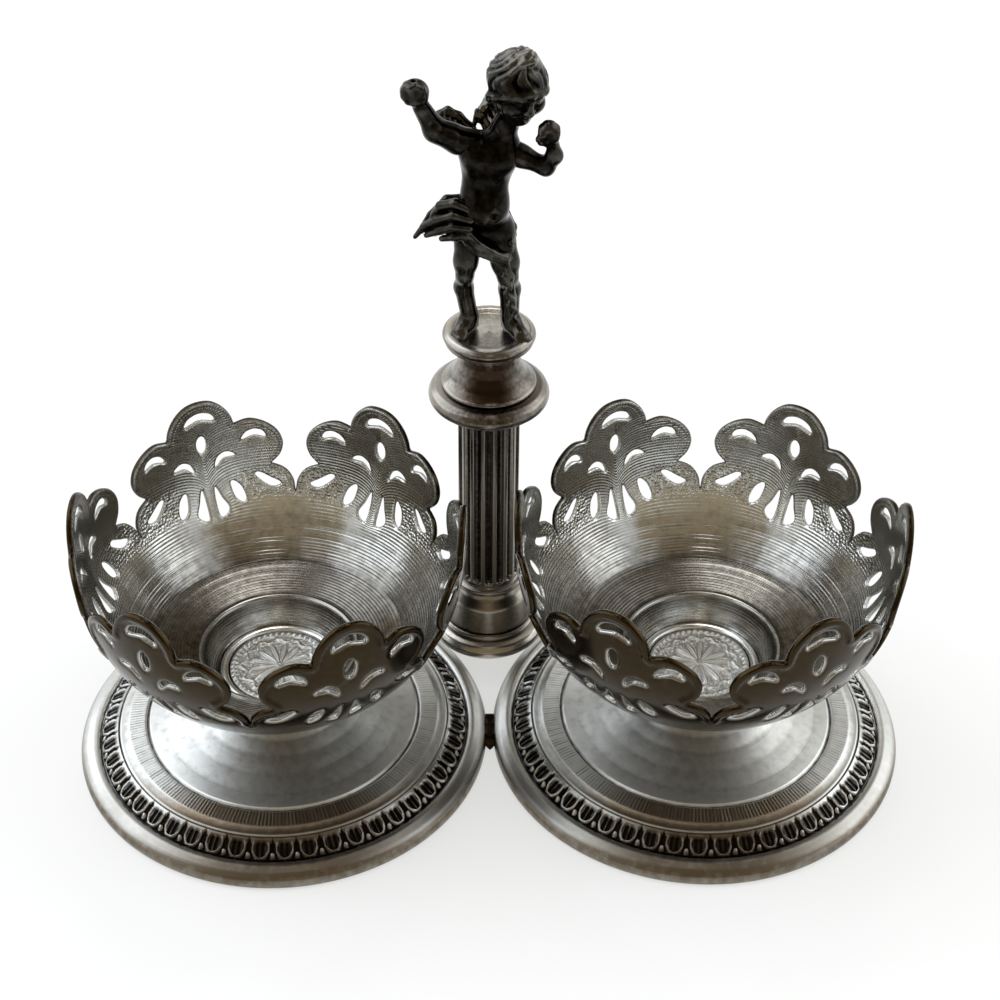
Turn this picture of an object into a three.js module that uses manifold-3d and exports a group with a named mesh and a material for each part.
// Double salt stand: two pierced bowls on round feet, joined at their rims, with a fluted
// column behind them that carries a small winged child. Millimetres, +Z up.
// Origin: on the table, at the middle of the line between the two feet. The viewer is at -Y.
import * as THREE from 'three';
import { mergeVertices } from 'three/addons/utils/BufferGeometryUtils.js';
import Module from 'manifold-3d';

// Feet
const footRadius = 35;
const footGap = 0.7;
const rimWidth = 3.6;
const rimHeight = 3.4;
const rimCrestWidth = 1.2;
const rimCrestInset = 1.3;
const rimLap = 0.9;
const sheet = 1.1;
const leafWidth = 3.2;
const leafSeatHeight = 2.2;
const leafOuterHeight = 3.3;
const leafInnerHeight = 5.2;
const leafCount = 48;
const leafPointDepth = 1.3;
const brightBandWidth = 1.7;
const hatchedBandWidth = 2.9;
const hatchedBandHeight = 6;
const footGroove = 0.35;
const stemRadius = 8.2;
const stemHeight = 14.8;
const stemTopThickness = 1.4;

// Bowls
const bowlRadius = 31.5;
const bowlTop = 51.2;
const bowlWall = 1.1;
const bowlShoulderHeight = 21.9;
const bowlShoulderRadius = 21.4;
const bowlWidestShare = 0.8;
const bowlRoundness = 2.6;
const wellRadius = 10.3;
const wellStepWidth = 2.3;
const wellStepHeight = 4.8;
const fanCount = 6;
const fanHeight = 19.6;
const fanTurnDegrees = -3.5;

// Studs that hold the bowls on their feet
const studRadius = 1.5;
const boltClearance = 0.3;
const rosetteRadius = 8.4;
const rosetteThickness = 0.7;
const rosettePetals = 8;
const petalHeight = 0.8;
const washerRadius = 3.2;
const washerThickness = 0.7;
const nutRadius = 2.9;
const nutThickness = 2;
const studEnd = 0.8;

// Column
const plateRadius = 10.2;
const plateLap = 2.1;
const plateThickness = 3.2;
const bellLipRadius = 8.6;
const bellHeight = 8.5;
const bellTopRadius = 5.8;
const collarRadius = 6.3;
const collarHeight = 1.5;
const shaftRadius = 5.25;
const shaftHeight = 37;
const shaftBore = 3.6;
const fluteCount = 16;
const fluteDepth = 0.7;
const capitalRadius = 10.1;
const capitalRingHeight = 4.5;
const capitalLipRadius = 8.5;
const capitalHeight = 6.7;
const capitalNeckRadius = 5.9;
const discRadius = 7.7;
const discThickness = 3.3;
const dishDepth = 0.5;
const dishRim = 0.7;
const rodRadius = 1.5;
const rodRise = 1.5;

// Figure
const figureHeight = 50.8;
const figureGap = 0.3;

// Fineness of the round work
const footSides = 36;
const bowlSides = 36;
const columnSides = 22;
const holeSides = 12;

// Worked out from the sizes above
const footX = footRadius + footGap / 2;
const rimInnerRadius = footRadius - rimWidth;
const leafInnerRadius = rimInnerRadius - leafWidth;
const columnY = Math.sqrt((footRadius + plateRadius - plateLap) ** 2 - footX ** 2);
const studHole = studRadius + boltClearance;
const rodHole = rodRadius + boltClearance;
const plateTop = rimHeight + plateThickness;
const bellTop = plateTop + bellHeight;
const shaftFoot = bellTop + collarHeight;
const shaftTop = shaftFoot + shaftHeight;
const capitalRingTop = shaftTop + capitalRingHeight;
const capitalTop = capitalRingTop + capitalHeight;
const discTop = capitalTop + discThickness;
const dishFloor = discTop - dishDepth;

const silver = { color: 0x8f8a80, roughness: 0.32, metalness: 1 };
const brightSilver = { color: 0xbdbcb8, roughness: 0.2, metalness: 1 };
const darkSilver = { color: 0x4c443c, roughness: 0.38, metalness: 1 };
const patina = { color: 0x30261d, roughness: 0.45, metalness: 1 };
const steel = { color: 0x7c7a76, roughness: 0.4, metalness: 1 };

const wasm = await Module();
wasm.setup();

// Closed geometry with shared vertices, no empty triangles, and its faces pointing out.
function closed(geometry) {
  const bare = geometry.clone();
  for (const name of Object.keys(bare.attributes)) {
    if (name !== 'position') bare.deleteAttribute(name);
  }
  const merged = mergeVertices(bare, 1e-4);
  const place = merged.attributes.position;
  const index = merged.index.array;
  const kept = [];
  let volume = 0;
  const a = new THREE.Vector3();
  const b = new THREE.Vector3();
  const c = new THREE.Vector3();
  for (let i = 0; i < index.length; i += 3) {
    const [p, q, r] = [index[i], index[i + 1], index[i + 2]];
    if (p === q || q === r || r === p) continue;
    kept.push(p, q, r);
    a.fromBufferAttribute(place, p);
    b.fromBufferAttribute(place, q);
    c.fromBufferAttribute(place, r);
    volume += a.dot(b.cross(c));
  }
  if (volume < 0) {
    for (let i = 0; i < kept.length; i += 3) [kept[i + 1], kept[i + 2]] = [kept[i + 2], kept[i + 1]];
  }
  merged.setIndex(kept);
  return merged;
}

// Solid for joining and cutting.
function solid(geometry) {
  const shape = closed(geometry);
  return new wasm.Manifold(new wasm.Mesh({
    numProp: 3,
    vertProperties: new Float32Array(shape.attributes.position.array),
    triVerts: new Uint32Array(shape.index.array),
  }));
}

// Geometry of a solid, or of its largest piece where a cut has left crumbs.
function geometryOf(manifold) {
  const pieces = manifold.decompose().sort((one, other) => other.volume() - one.volume());
  const result = pieces[0].getMesh();
  const geometry = new THREE.BufferGeometry();
  geometry.setAttribute('position', new THREE.BufferAttribute(result.vertProperties, 3));
  geometry.setIndex(new THREE.BufferAttribute(result.triVerts, 1));
  return geometry;
}

function join(solids) {
  return solids.reduce((whole, piece) => whole.add(piece));
}

// Turned piece about +Z from a closed outline of [radius, height] points.
// A flat facet faces each axis direction.
function turned(outline, sides) {
  const points = outline.map(([radius, height]) => new THREE.Vector2(radius, height));
  const onAxis = outline[0][0] === 0 && outline[outline.length - 1][0] === 0;
  if (!onAxis) points.push(points[0].clone());
  const geometry = new THREE.LatheGeometry(points, sides);
  geometry.rotateX(Math.PI / 2);
  geometry.rotateZ(Math.PI / sides);
  return closed(geometry);
}

// Prism along +Z from height `low` to `high`, with any round hole up the middle.
function prism(points, low, high, hole = 0) {
  const shape = new THREE.Shape(points.map(([x, y]) => new THREE.Vector2(x, y)));
  if (hole > 0) {
    const ring = circlePoints(hole, holeSides).map(([x, y]) => new THREE.Vector2(x, y));
    shape.holes.push(new THREE.Path(ring));
  }
  const geometry = new THREE.ExtrudeGeometry(shape, { depth: high - low, bevelEnabled: false });
  geometry.translate(0, 0, low);
  return closed(geometry);
}

function circlePoints(radius, sides) {
  return Array.from({ length: sides }, (_, i) => {
    const angle = (2 * Math.PI * i) / sides;
    return [radius * Math.cos(angle), radius * Math.sin(angle)];
  });
}

// Foot rim: a heavy wire of rounded section. Its crest is flat where the column plate sits,
// and it overhangs the edge of the foot's sheet.
function footRim() {
  const crestOuter = footRadius - rimCrestInset;
  const crestInner = crestOuter - rimCrestWidth;
  return turned([
    [rimInnerRadius + rimLap, 0],
    [footRadius - rimWidth / 6, 0],
    [footRadius, rimHeight * 0.24],
    [footRadius, rimHeight * 0.66],
    [crestOuter, rimHeight],
    [crestInner, rimHeight],
    [rimInnerRadius, rimHeight * 0.8],
    [rimInnerRadius, leafSeatHeight],
    [rimInnerRadius + rimLap, leafSeatHeight],
  ], footSides);
}

// Foot: one spun shell, open underneath, from the rim over the leaf seat and the bands
// to the dome and the short stem.
function footShell() {
  const brightInner = leafInnerRadius - brightBandWidth;
  const hatchedInner = brightInner - hatchedBandWidth;
  const domeRise = stemHeight - hatchedBandHeight;
  const domeRun = hatchedInner - stemRadius;
  const dome = [[0.65, 0.18], [0.26, 0.46], [0.05, 0.8]];
  const outside = [
    [rimInnerRadius + rimLap, leafSeatHeight - sheet],
    [rimInnerRadius + rimLap, leafSeatHeight],
    [leafInnerRadius, leafSeatHeight],
    [leafInnerRadius, leafInnerHeight],
    [brightInner, hatchedBandHeight - 0.1],
    [hatchedInner, hatchedBandHeight],
    [hatchedInner - footGroove, hatchedBandHeight - footGroove],
    [hatchedInner - 2 * footGroove, hatchedBandHeight + 0.1],
    ...dome.map(([run, rise]) => [stemRadius + run * domeRun, hatchedBandHeight + rise * domeRise]),
    [stemRadius, stemHeight],
    [studHole, stemHeight],
  ];
  const inside = [
    [studHole, stemHeight - stemTopThickness],
    [stemRadius - sheet, stemHeight - stemTopThickness],
    ...dome.map(([run, rise]) => [
      stemRadius - sheet / 2 + run * domeRun,
      hatchedBandHeight - sheet + rise * domeRise,
    ]).reverse(),
    [brightInner, hatchedBandHeight - sheet - 0.1],
    [leafInnerRadius - sheet, leafInnerHeight - sheet],
    [leafInnerRadius - sheet, leafSeatHeight - sheet],
  ];
  return turned([...outside, ...inside], footSides);
}

// Leaf border: a cast ring of tongues pointing inwards, higher at its inner points.
function leafBorder() {
  const outer = rimInnerRadius - boltClearance;
  const tip = leafInnerRadius + boltClearance;
  const root = tip + leafPointDepth;
  const shape = new THREE.Shape();
  shape.setFromPoints(circlePoints(outer, leafCount).map(([x, y]) => new THREE.Vector2(x, y)));
  const edge = [];
  for (let i = 0; i < leafCount; i++) {
    for (const [turn, radius] of [[0, root], [0.5, tip]]) {
      const angle = (2 * Math.PI * (i + turn)) / leafCount;
      edge.push(new THREE.Vector2(radius * Math.cos(angle), radius * Math.sin(angle)));
    }
  }
  shape.holes.push(new THREE.Path(edge));
  const geometry = new THREE.ExtrudeGeometry(shape, { depth: 1, bevelEnabled: false });
  const place = geometry.attributes.position;
  for (let i = 0; i < place.count; i++) {
    const inwards = (outer - Math.hypot(place.getX(i), place.getY(i))) / (outer - tip);
    const top = leafOuterHeight + inwards * (leafInnerHeight - leafOuterHeight);
    place.setZ(i, place.getZ(i) > 0.5 ? top : leafSeatHeight);
  }
  return closed(geometry);
}

// Outer radius of a bowl's wall at a height above its shoulder.
function wallRadius(height) {
  const share = (height - bowlShoulderHeight) / (bowlTop - bowlShoulderHeight);
  const out = 1 - Math.abs(1 - share / bowlWidestShare) ** bowlRoundness;
  return bowlShoulderRadius + out * (bowlRadius - bowlShoulderRadius);
}

// One fan of the pierced wall, right half, in shares of the half pitch and the fan's height.
const fanEdge = [
  [0, 1], [0.15, 0.975], [0.273, 0.888], [0.347, 0.781], [0.373, 0.689], [0.533, 0.719],
  [0.7, 0.668], [0.827, 0.571], [0.877, 0.449], [0.84, 0.332], [0.74, 0.245], [0.883, 0.194],
  [0.973, 0.102], [1, 0],
];
const middleHoles = [
  [[-0.187, 0.755], [0, 0.785], [0.187, 0.755], [0.13, 0.86], [0, 0.895], [-0.13, 0.86]],
  [[0, 0.424], [0.055, 0.48], [0.055, 0.592], [0, 0.648], [-0.055, 0.592], [-0.055, 0.48]],
];
const sideHoles = [
  [[0.413, 0.485], [0.567, 0.51], [0.713, 0.505], [0.667, 0.587], [0.573, 0.628], [0.467, 0.582]],
  [[0.1, 0.25], [0.21, 0.33], [0.36, 0.352], [0.313, 0.403], [0.233, 0.423], [0.14, 0.372]],
  [[0.517, 0.158], [0.633, 0.056], [0.747, 0.01], [0.867, 0.056], [0.727, 0.122], [0.58, 0.189]],
  [[0.24, 0.087], [0.28, -0.031], [0.39, -0.09], [0.427, -0.04], [0.38, 0.082], [0.28, 0.128]],
  [[0.04, -0.17], [0.2, -0.12], [0.133, 0], [0.053, 0.122]],
];
const fanFootShare = -0.2;

function mirrored(outline) {
  return outline.map(([across, up]) => [-across, up]).reverse();
}

// Bowl: a turned shell with a central well, and above it six pierced fans. One flat fan
// pattern is filled with triangles and bent round the wall, outside and inside.
function bowl() {
  const positions = [];
  const at = (turn, radius, height) => {
    const angle = 2 * Math.PI * (turn + fanTurnDegrees / 360);
    return [radius * Math.cos(angle), radius * Math.sin(angle), height].map((v) => +v.toFixed(5));
  };
  const face = (...corners) => positions.push(...corners.flat());
  const quad = (p, q, r, s) => {
    face(p, q, r);
    face(p, r, s);
  };

  const notch = bowlTop - fanHeight;
  const wallFoot = notch + fanFootShare * fanHeight;
  const stepTop = stemHeight + wellStepHeight;
  const stepOuter = wellRadius + wellStepWidth;
  const floorMiddle = (stepOuter + bowlShoulderRadius) / 2;
  const floorRise = 0.35 * (bowlShoulderHeight - stepTop);
  const path = [
    [wallRadius(wallFoot) - bowlWall, wallFoot],
    [bowlShoulderRadius - 0.6 * bowlWall, bowlShoulderHeight + bowlWall],
    [floorMiddle, stepTop + bowlWall + floorRise],
    [stepOuter, stepTop + bowlWall],
    [wellRadius + 0.4 * wellStepWidth, stemHeight + bowlWall + 0.4 * wellStepHeight],
    [wellRadius - 0.3 * bowlWall, stemHeight + bowlWall],
    [studHole, stemHeight + bowlWall],
    [studHole, stemHeight],
    [wellRadius + 0.4 * bowlWall, stemHeight],
    [wellRadius + 0.9 * wellStepWidth, stemHeight + 0.4 * wellStepHeight],
    [stepOuter + 0.8 * bowlWall, stepTop],
    [floorMiddle, stepTop + floorRise],
    [bowlShoulderRadius, bowlShoulderHeight],
    [wallRadius(wallFoot), wallFoot],
  ];
  for (let i = 0; i < bowlSides; i++) {
    const [from, to] = [i / bowlSides, (i + 1) / bowlSides];
    for (let j = 1; j < path.length; j++) {
      quad(at(from, ...path[j - 1]), at(to, ...path[j - 1]), at(to, ...path[j]), at(from, ...path[j]));
    }
  }

  const steps = bowlSides / fanCount;
  const foot = Array.from({ length: steps + 1 }, (_, i) => [(2 * i) / steps - 1, fanFootShare]);
  const leftEdge = fanEdge.slice(1).map(([across, up]) => [-across, up]);
  const outline = [...foot, ...fanEdge.slice().reverse(), ...leftEdge];
  const holes = [...middleHoles, ...sideHoles, ...sideHoles.map(mirrored)];
  const flat = (points) => points.map(([across, up]) => new THREE.Vector2(across, up));
  const faces = THREE.ShapeUtils.triangulateShape(flat(outline), holes.map(flat));
  const points = [outline, ...holes].flat();
  for (let fan = 0; fan < fanCount; fan++) {
    const bent = (point, inset) => {
      const [across, up] = point;
      const height = notch + up * fanHeight;
      return at((fan + across / 2) / fanCount, wallRadius(height) - inset, height);
    };
    const wall = (p, q) => quad(bent(q, 0), bent(p, 0), bent(p, bowlWall), bent(q, bowlWall));
    for (const [p, q, r] of faces) {
      face(bent(points[p], 0), bent(points[q], 0), bent(points[r], 0));
      face(bent(points[p], bowlWall), bent(points[r], bowlWall), bent(points[q], bowlWall));
    }
    for (let i = foot.length; i < outline.length - 1; i++) wall(outline[i], outline[i + 1]);
    for (const hole of holes) {
      const n = hole.length;
      for (let i = 0; i < n; i++) wall(hole[(i + 1) % n], hole[i]);
    }
  }
  const geometry = new THREE.BufferGeometry();
  geometry.setAttribute('position', new THREE.Float32BufferAttribute(positions, 3));
  return closed(geometry);
}

// Rosette in the well of a bowl, with petals, a raised edge and the stud under it.
function rosette() {
  const floor = stemHeight + bowlWall;
  const top = floor + rosetteThickness;
  const end = stemHeight - stemTopThickness - washerThickness - nutThickness - studEnd;
  const disc = turned([
    [0, end],
    [studRadius, end],
    [studRadius, floor],
    [rosetteRadius, floor],
    [rosetteRadius, top + 0.2],
    [rosetteRadius * 0.86, top + 0.2],
    [rosetteRadius * 0.84, top],
    [rosetteRadius * 0.2, top],
    [rosetteRadius * 0.12, top + petalHeight],
    [0, top + petalHeight],
  ], columnSides);
  const petals = [];
  for (let i = 0; i < rosettePetals; i++) {
    const petal = new THREE.SphereGeometry(1, 6, 4);
    petal.scale(rosetteRadius * 0.3, rosetteRadius * 0.13, petalHeight);
    petal.translate(rosetteRadius * 0.5, 0, top);
    petal.rotateZ((2 * Math.PI * i) / rosettePetals);
    petals.push(solid(petal));
  }
  return geometryOf(join([solid(disc), ...petals]));
}

function washer(top) {
  return prism(circlePoints(washerRadius, 2 * holeSides), top - washerThickness, top, studHole);
}

function nut(top) {
  return prism(circlePoints(nutRadius, 6), top - nutThickness, top, studHole);
}

// Small solder plate that fills the gap where the two rims meet.
function rimLink() {
  const gap = 2 * (footX - footRadius * Math.cos(Math.PI / footSides));
  const length = 2 * footRadius * Math.sin(Math.PI / footSides) * 0.9;
  const low = rimHeight * 0.26;
  const high = rimHeight * 0.64;
  const geometry = new THREE.BoxGeometry(gap, length, high - low);
  geometry.translate(0, 0, (low + high) / 2);
  return closed(geometry);
}

// Plate that bridges the two rims and carries the column.
function basePlate() {
  return turned([
    [rodHole, rimHeight],
    [plateRadius - 0.5, rimHeight],
    [plateRadius, rimHeight + 0.3 * plateThickness],
    [plateRadius, rimHeight + 0.6 * plateThickness],
    [plateRadius - 0.6, rimHeight + 0.9 * plateThickness],
    [bellLipRadius + 0.1, plateTop],
    [rodHole, plateTop],
  ], columnSides);
}

// Hollow convex bell at the foot of the shaft.
function baseBell() {
  const run = bellLipRadius - bellTopRadius;
  return turned([
    [bellLipRadius - 1.6, plateTop],
    [bellLipRadius - 0.3, plateTop],
    [bellLipRadius, plateTop + 0.05 * bellHeight],
    [bellLipRadius - 0.1, plateTop + 0.14 * bellHeight],
    [bellTopRadius + 0.62 * run, plateTop + 0.25 * bellHeight],
    [bellTopRadius + 0.4 * run, plateTop + 0.5 * bellHeight],
    [bellTopRadius + 0.16 * run, plateTop + 0.8 * bellHeight],
    [bellTopRadius, bellTop],
    [shaftBore, bellTop],
    [shaftBore, plateTop + 0.7 * bellHeight],
  ], columnSides);
}

function shaftCollar() {
  return turned([
    [shaftBore, bellTop],
    [bellTopRadius, bellTop],
    [collarRadius, bellTop + 0.3 * collarHeight],
    [collarRadius, bellTop + 0.7 * collarHeight],
    [shaftRadius, shaftFoot],
    [shaftBore, shaftFoot],
  ], columnSides);
}

// Fluted tube: round flutes between narrow lands.
function shaft() {
  const outline = [];
  const section = [[0, 0], [0.2, 0], [0.38, 0.75], [0.6, 1], [0.82, 0.75]];
  for (let i = 0; i < fluteCount; i++) {
    for (const [turn, depth] of section) {
      const angle = (2 * Math.PI * (i + turn)) / fluteCount;
      const radius = shaftRadius - depth * fluteDepth;
      outline.push([radius * Math.cos(angle), radius * Math.sin(angle)]);
    }
  }
  return prism(outline, shaftFoot, shaftTop, shaftBore);
}

function capitalRing() {
  const middle = shaftTop + capitalRingHeight / 2;
  return turned([
    [rodHole, shaftTop],
    [shaftRadius + 0.4, shaftTop],
    [capitalRadius - 1.2, shaftTop + 0.12 * capitalRingHeight],
    [capitalRadius - 0.3, middle - 0.25 * capitalRingHeight],
    [capitalRadius, middle],
    [capitalRadius - 0.3, middle + 0.25 * capitalRingHeight],
    [capitalRadius - 1.1, capitalRingTop],
    [rodHole, capitalRingTop],
  ], columnSides);
}

// Convex bell between the ring and the disc.
function capitalBell() {
  const run = capitalLipRadius - capitalNeckRadius;
  return turned([
    [rodHole, capitalRingTop],
    [capitalLipRadius - 0.3, capitalRingTop],
    [capitalLipRadius, capitalRingTop + 0.08 * capitalHeight],
    [capitalNeckRadius + 0.9 * run, capitalRingTop + 0.35 * capitalHeight],
    [capitalNeckRadius + 0.55 * run, capitalRingTop + 0.7 * capitalHeight],
    [capitalNeckRadius, capitalTop],
    [rodHole, capitalTop],
  ], columnSides);
}

// Dished disc under the figure. The tie rod ends in the blind hole under it.
function topDisc() {
  return turned([
    [0, capitalTop + rodRise],
    [rodHole, capitalTop + rodRise],
    [rodHole, capitalTop],
    [capitalNeckRadius, capitalTop],
    [discRadius - 0.5, capitalTop + 0.12 * discThickness],
    [discRadius - 0.3, capitalTop + 0.4 * discThickness],
    [discRadius, capitalTop + 0.7 * discThickness],
    [discRadius - 0.3, discTop],
    [discRadius - dishRim, discTop],
    [discRadius - dishRim - dishDepth, dishFloor],
    [0, dishFloor],
  ], columnSides);
}

function tieRod() {
  const low = rimHeight - washerThickness - nutThickness - 0.3;
  return prism(circlePoints(rodRadius, holeSides), low, capitalTop + rodRise);
}

// Figure, in its own frame: feet on z = 0. Right and left are the viewer's. Its forms are in
// percent of its height: a ball is a place and its radii, a limb two places and its end radii.
const percent = figureHeight / 100;
const balls = {
  chest: [[-1, 0, 62], [9, 7.2, 11]],
  belly: [[-1.3, -1, 50], [8.4, 7.8, 10.5]],
  pelvis: [[-2.2, 0.5, 40], [8.8, 7.8, 8]],
  face: [[8.4, -1.5, 85.5], [8, 8.8, 9.6]],
  hair: [[7.8, 1, 89.8], [9.6, 10.2, 10.4]],
  leftFoot: [[-8.8, -2, 2.3], [3, 5.2, 2.3]],
  rightFoot: [[8.8, -2.6, 2.3], [3, 5.2, 2.3]],
  raisedFist: [[-22.9, -2.2, 86], [4.2, 3.8, 4.4]],
  bentHand: [[16.8, -6.5, 75], [3.2, 3.2, 4]],
  hipCloth: [[-2.2, 0.2, 36.5], [10.6, 9.4, 5.4]],
};
const limbs = {
  neck: [[3, 0, 70], [7.4, -0.5, 80], 4.6, 4],
  leftThigh: [[-6.6, 0, 37], [-8, -1.6, 19.5], 5.4, 3.5],
  leftShin: [[-8, -1.6, 19.5], [-6.8, 0.4, 5], 3.5, 2.7],
  rightThigh: [[2.4, 0, 36.5], [5, -2.2, 19.5], 5.6, 3.7],
  rightShin: [[5, -2.2, 19.5], [6.9, -0.4, 5], 3.7, 3],
  raisedUpperArm: [[-6.5, 0, 68.5], [-17, -1, 70], 4, 3.3],
  raisedForearm: [[-17, -1, 70], [-21.5, -2, 81.5], 3.3, 2.7],
  bentUpperArm: [[6, 0, 68], [17.5, -3, 62], 3.7, 3],
  bentForearm: [[17.5, -3, 62], [18.4, -5.8, 71.5], 3, 2.4],
  gatheredCloth: [[-8, -1.5, 41], [-17.5, -0.5, 42], 5.6, 4.4],
  blownCloth: [[-17.5, -0.5, 41], [-22.6, 0, 36.8], 3.8, 1.4],
  clothBand: [[-7, -5.5, 37.5], [4, -6.5, 34], 3.4, 3.6],
  hangingCloth: [[4, -5.6, 33], [6.5, -3.8, 16], 3.2, 2.2],
};
const wingOutline = [
  [0, -6], [4.5, -6.5], [5, -3], [9, -3], [9, 0.5], [12.5, 1], [12, 4.5], [15, 7], [10, 9.5], [4, 8],
  [0, 3],
];
const wingRoot = [2, 8.2, 67];
const wingThickness = 2;
const wingLean = 0.35;
const soleCut = 0.3;

function ball([[x, y, z], [rx, ry, rz]], grow = 0) {
  const geometry = new THREE.SphereGeometry(1, 10, 6);
  geometry.rotateX(Math.PI / 2);
  geometry.scale(rx * percent + grow, ry * percent + grow, rz * percent + grow);
  geometry.translate(x * percent, y * percent, z * percent);
  return solid(geometry);
}

// Tapered limb with round ends.
function limb([from, to, startRadius, endRadius], grow = 0) {
  const start = new THREE.Vector3(...from).multiplyScalar(percent);
  const along = new THREE.Vector3(...to).multiplyScalar(percent).sub(start);
  const low = startRadius * percent + grow;
  const high = endRadius * percent + grow;
  const outline = [
    new THREE.Vector2(0, -low),
    new THREE.Vector2(0.75 * low, -0.66 * low),
    new THREE.Vector2(low, 0),
    new THREE.Vector2(high, along.length()),
    new THREE.Vector2(0.75 * high, along.length() + 0.66 * high),
    new THREE.Vector2(0, along.length() + high),
  ];
  const geometry = new THREE.LatheGeometry(outline, 8);
  const turn = new THREE.Quaternion();
  turn.setFromUnitVectors(new THREE.Vector3(0, 1, 0), along.clone().normalize());
  geometry.applyQuaternion(turn);
  geometry.translate(start.x, start.y, start.z);
  return solid(geometry);
}

function bodySolid(grow) {
  return join([
    ...[balls.chest, balls.belly, balls.pelvis].map((form) => ball(form, grow)),
    ...[limbs.neck].map((form) => limb(form, grow)),
    ...[balls.face, balls.hair].map((form) => ball(form, grow)),
    ...[limbs.leftThigh, limbs.leftShin, limbs.rightThigh, limbs.rightShin].map((form) => limb(form, grow)),
    ...[balls.leftFoot, balls.rightFoot].map((form) => ball(form, grow)),
  ]);
}

// The soles are cut flat, and the whole is lowered by as much.
function figureBody() {
  const ground = new THREE.BoxGeometry(figureHeight, figureHeight, figureHeight);
  ground.translate(0, 0, -figureHeight / 2 + soleCut * percent);
  return geometryOf(bodySolid(0).subtract(solid(ground)).translate(0, 0, -soleCut * percent));
}

// Piece that is fixed to the body: the body, grown by the gap, is cut out of it.
function besideBody(piece) {
  const cut = piece.subtract(bodySolid(figureGap));
  return geometryOf(cut.translate(0, 0, -soleCut * percent));
}

function raisedArm() {
  return besideBody(join([
    limb(limbs.raisedUpperArm),
    limb(limbs.raisedForearm),
    ball(balls.raisedFist),
  ]));
}

function bentArm() {
  return besideBody(join([
    limb(limbs.bentUpperArm),
    limb(limbs.bentForearm),
    ball(balls.bentHand),
  ]));
}

// Small wing: a flat plate with three feather tips, leaning back from the shoulder blade.
function wing(side) {
  const [out, back, up] = wingRoot;
  const shape = new THREE.Shape(wingOutline.map(([x, y]) => new THREE.Vector2(x, y)));
  const geometry = new THREE.ExtrudeGeometry(shape, { depth: wingThickness, bevelEnabled: false });
  geometry.rotateX(Math.PI / 2);
  geometry.rotateZ(wingLean);
  geometry.scale(side, 1, 1);
  geometry.translate(balls.chest[0][0] + side * out, back, up);
  geometry.scale(percent, percent, percent);
  return besideBody(solid(geometry));
}

// Cloth about the hips, gathered at the left hip and blown out to a point.
function drapery() {
  return besideBody(join([
    ball(balls.hipCloth),
    limb(limbs.gatheredCloth),
    limb(limbs.blownCloth),
    limb(limbs.clothBand),
    limb(limbs.hangingCloth),
  ]));
}

const stand = new THREE.Group();

function add(parent, name, geometry, finish) {
  geometry.computeVertexNormals();
  const mesh = new THREE.Mesh(geometry, new THREE.MeshStandardMaterial(finish));
  mesh.name = name;
  parent.add(mesh);
  return mesh;
}

for (const [side, x] of [['left', -footX], ['right', footX]]) {
  const salt = new THREE.Group();
  salt.position.x = x;
  stand.add(salt);
  const underStem = stemHeight - stemTopThickness;
  add(salt, `foot_rim_${side}`, footRim(), brightSilver);
  add(salt, `foot_${side}`, footShell(), silver);
  add(salt, `leaf_border_${side}`, leafBorder(), darkSilver);
  add(salt, `bowl_${side}`, bowl(), silver);
  add(salt, `rosette_${side}`, rosette(), silver);
  add(salt, `stud_washer_${side}`, washer(underStem), steel);
  add(salt, `stud_nut_${side}`, nut(underStem - washerThickness), steel);
}

add(stand, 'rim_link', rimLink(), darkSilver);

const column = new THREE.Group();
column.position.y = columnY;
stand.add(column);
add(column, 'column_plate', basePlate(), darkSilver);
add(column, 'column_bell', baseBell(), darkSilver);
add(column, 'shaft_collar', shaftCollar(), darkSilver);
add(column, 'fluted_shaft', shaft(), darkSilver);
add(column, 'capital_ring', capitalRing(), darkSilver);
add(column, 'capital_bell', capitalBell(), darkSilver);
add(column, 'top_disc', topDisc(), darkSilver);
add(column, 'tie_rod', tieRod(), steel);
add(column, 'tie_washer', washer(rimHeight), steel);
add(column, 'tie_nut', nut(rimHeight - washerThickness), steel);

const figure = new THREE.Group();
figure.position.z = dishFloor;
column.add(figure);
add(figure, 'figure_body', figureBody(), patina);
add(figure, 'figure_raised_arm', raisedArm(), patina);
add(figure, 'figure_bent_arm', bentArm(), patina);
add(figure, 'figure_wing_left', wing(-1), patina);
add(figure, 'figure_wing_right', wing(1), patina);
add(figure, 'figure_drapery', drapery(), patina);

export default stand;
